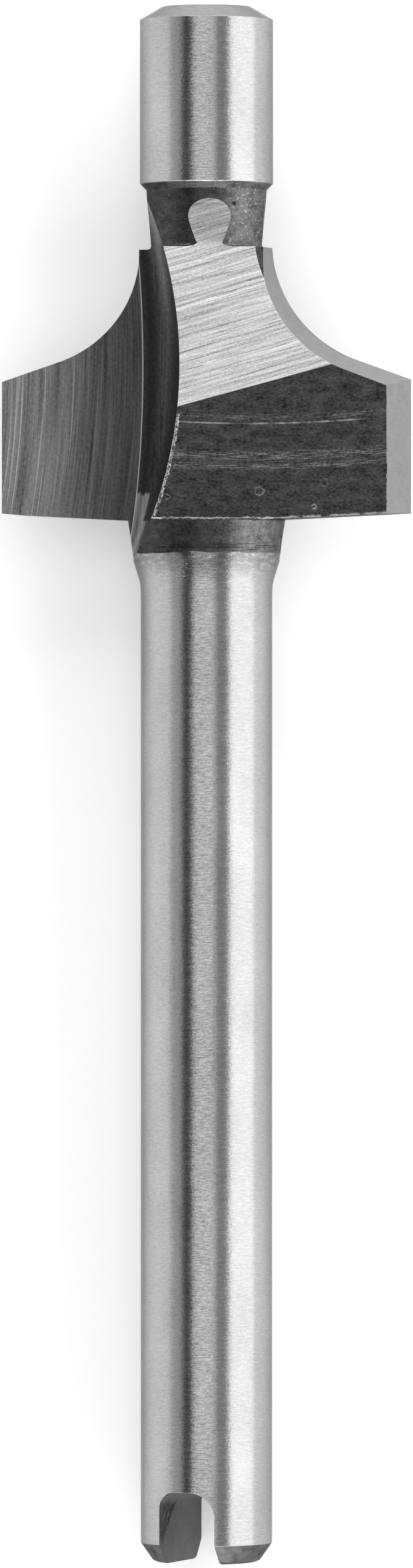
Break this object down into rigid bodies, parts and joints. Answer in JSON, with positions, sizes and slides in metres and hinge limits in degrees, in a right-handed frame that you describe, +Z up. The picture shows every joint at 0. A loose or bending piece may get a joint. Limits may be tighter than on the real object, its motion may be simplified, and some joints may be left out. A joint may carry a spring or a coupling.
{
  "type": "corner rounding end mill",
  "caption": "Steel cutter with a straight slotted shank, two flat blades with concave quarter-round edges, and a plain pilot at its tip.",
  "frame": {"origin": "middle of the tool's bounding box, on the surface that it lies on", "axes": "+Y along the tool towards its pilot, +X across the blades, +Z up from the surface that it lies on"},
  "size_m": [0.0098, 0.0376, 0.0039],
  "materials": {
    "steel": "satin"
  },
  "bodies": {
    "root": {"corner_rounding_end_mill": "steel"}
  },
  "joints": []
}
